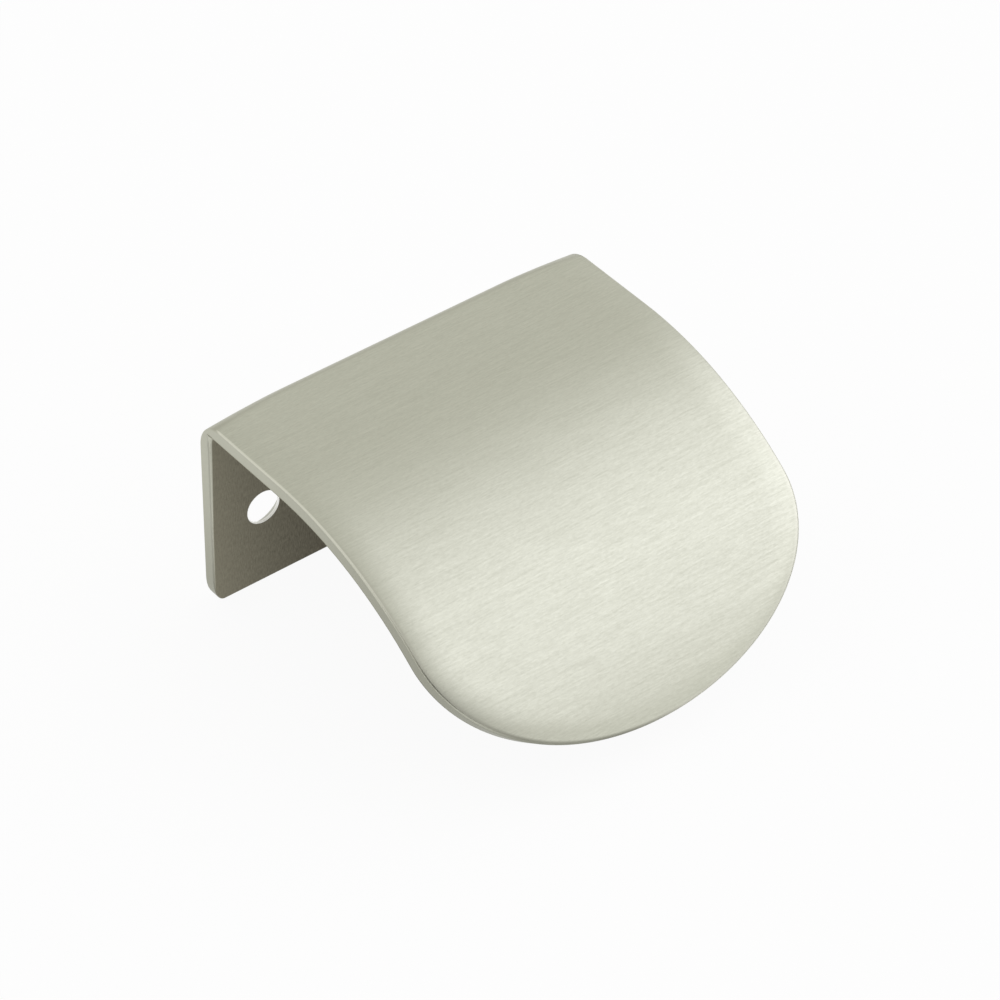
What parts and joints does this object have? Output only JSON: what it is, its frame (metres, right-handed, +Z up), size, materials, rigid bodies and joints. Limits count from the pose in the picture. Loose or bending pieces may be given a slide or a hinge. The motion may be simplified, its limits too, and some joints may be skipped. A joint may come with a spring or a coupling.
{
  "type": "tab pull",
  "caption": "Folded metal tab pull: a flat screw flange goes behind a door or drawer front, and a wide curved tab with a rounded nose reaches over its edge.",
  "frame": {"origin": "middle of the line between the two screw holes, on the flange's seat", "axes": "X along the door's edge, -Y forward, the way the tab points, and +Z up"},
  "size_m": [0.044, 0.0431, 0.0226],
  "materials": {
    "brushed_leaf": "warm satin finish, brushed along the fold"
  },
  "bodies": {
    "root": {"leaf": "brushed_leaf"}
  },
  "joints": []
}
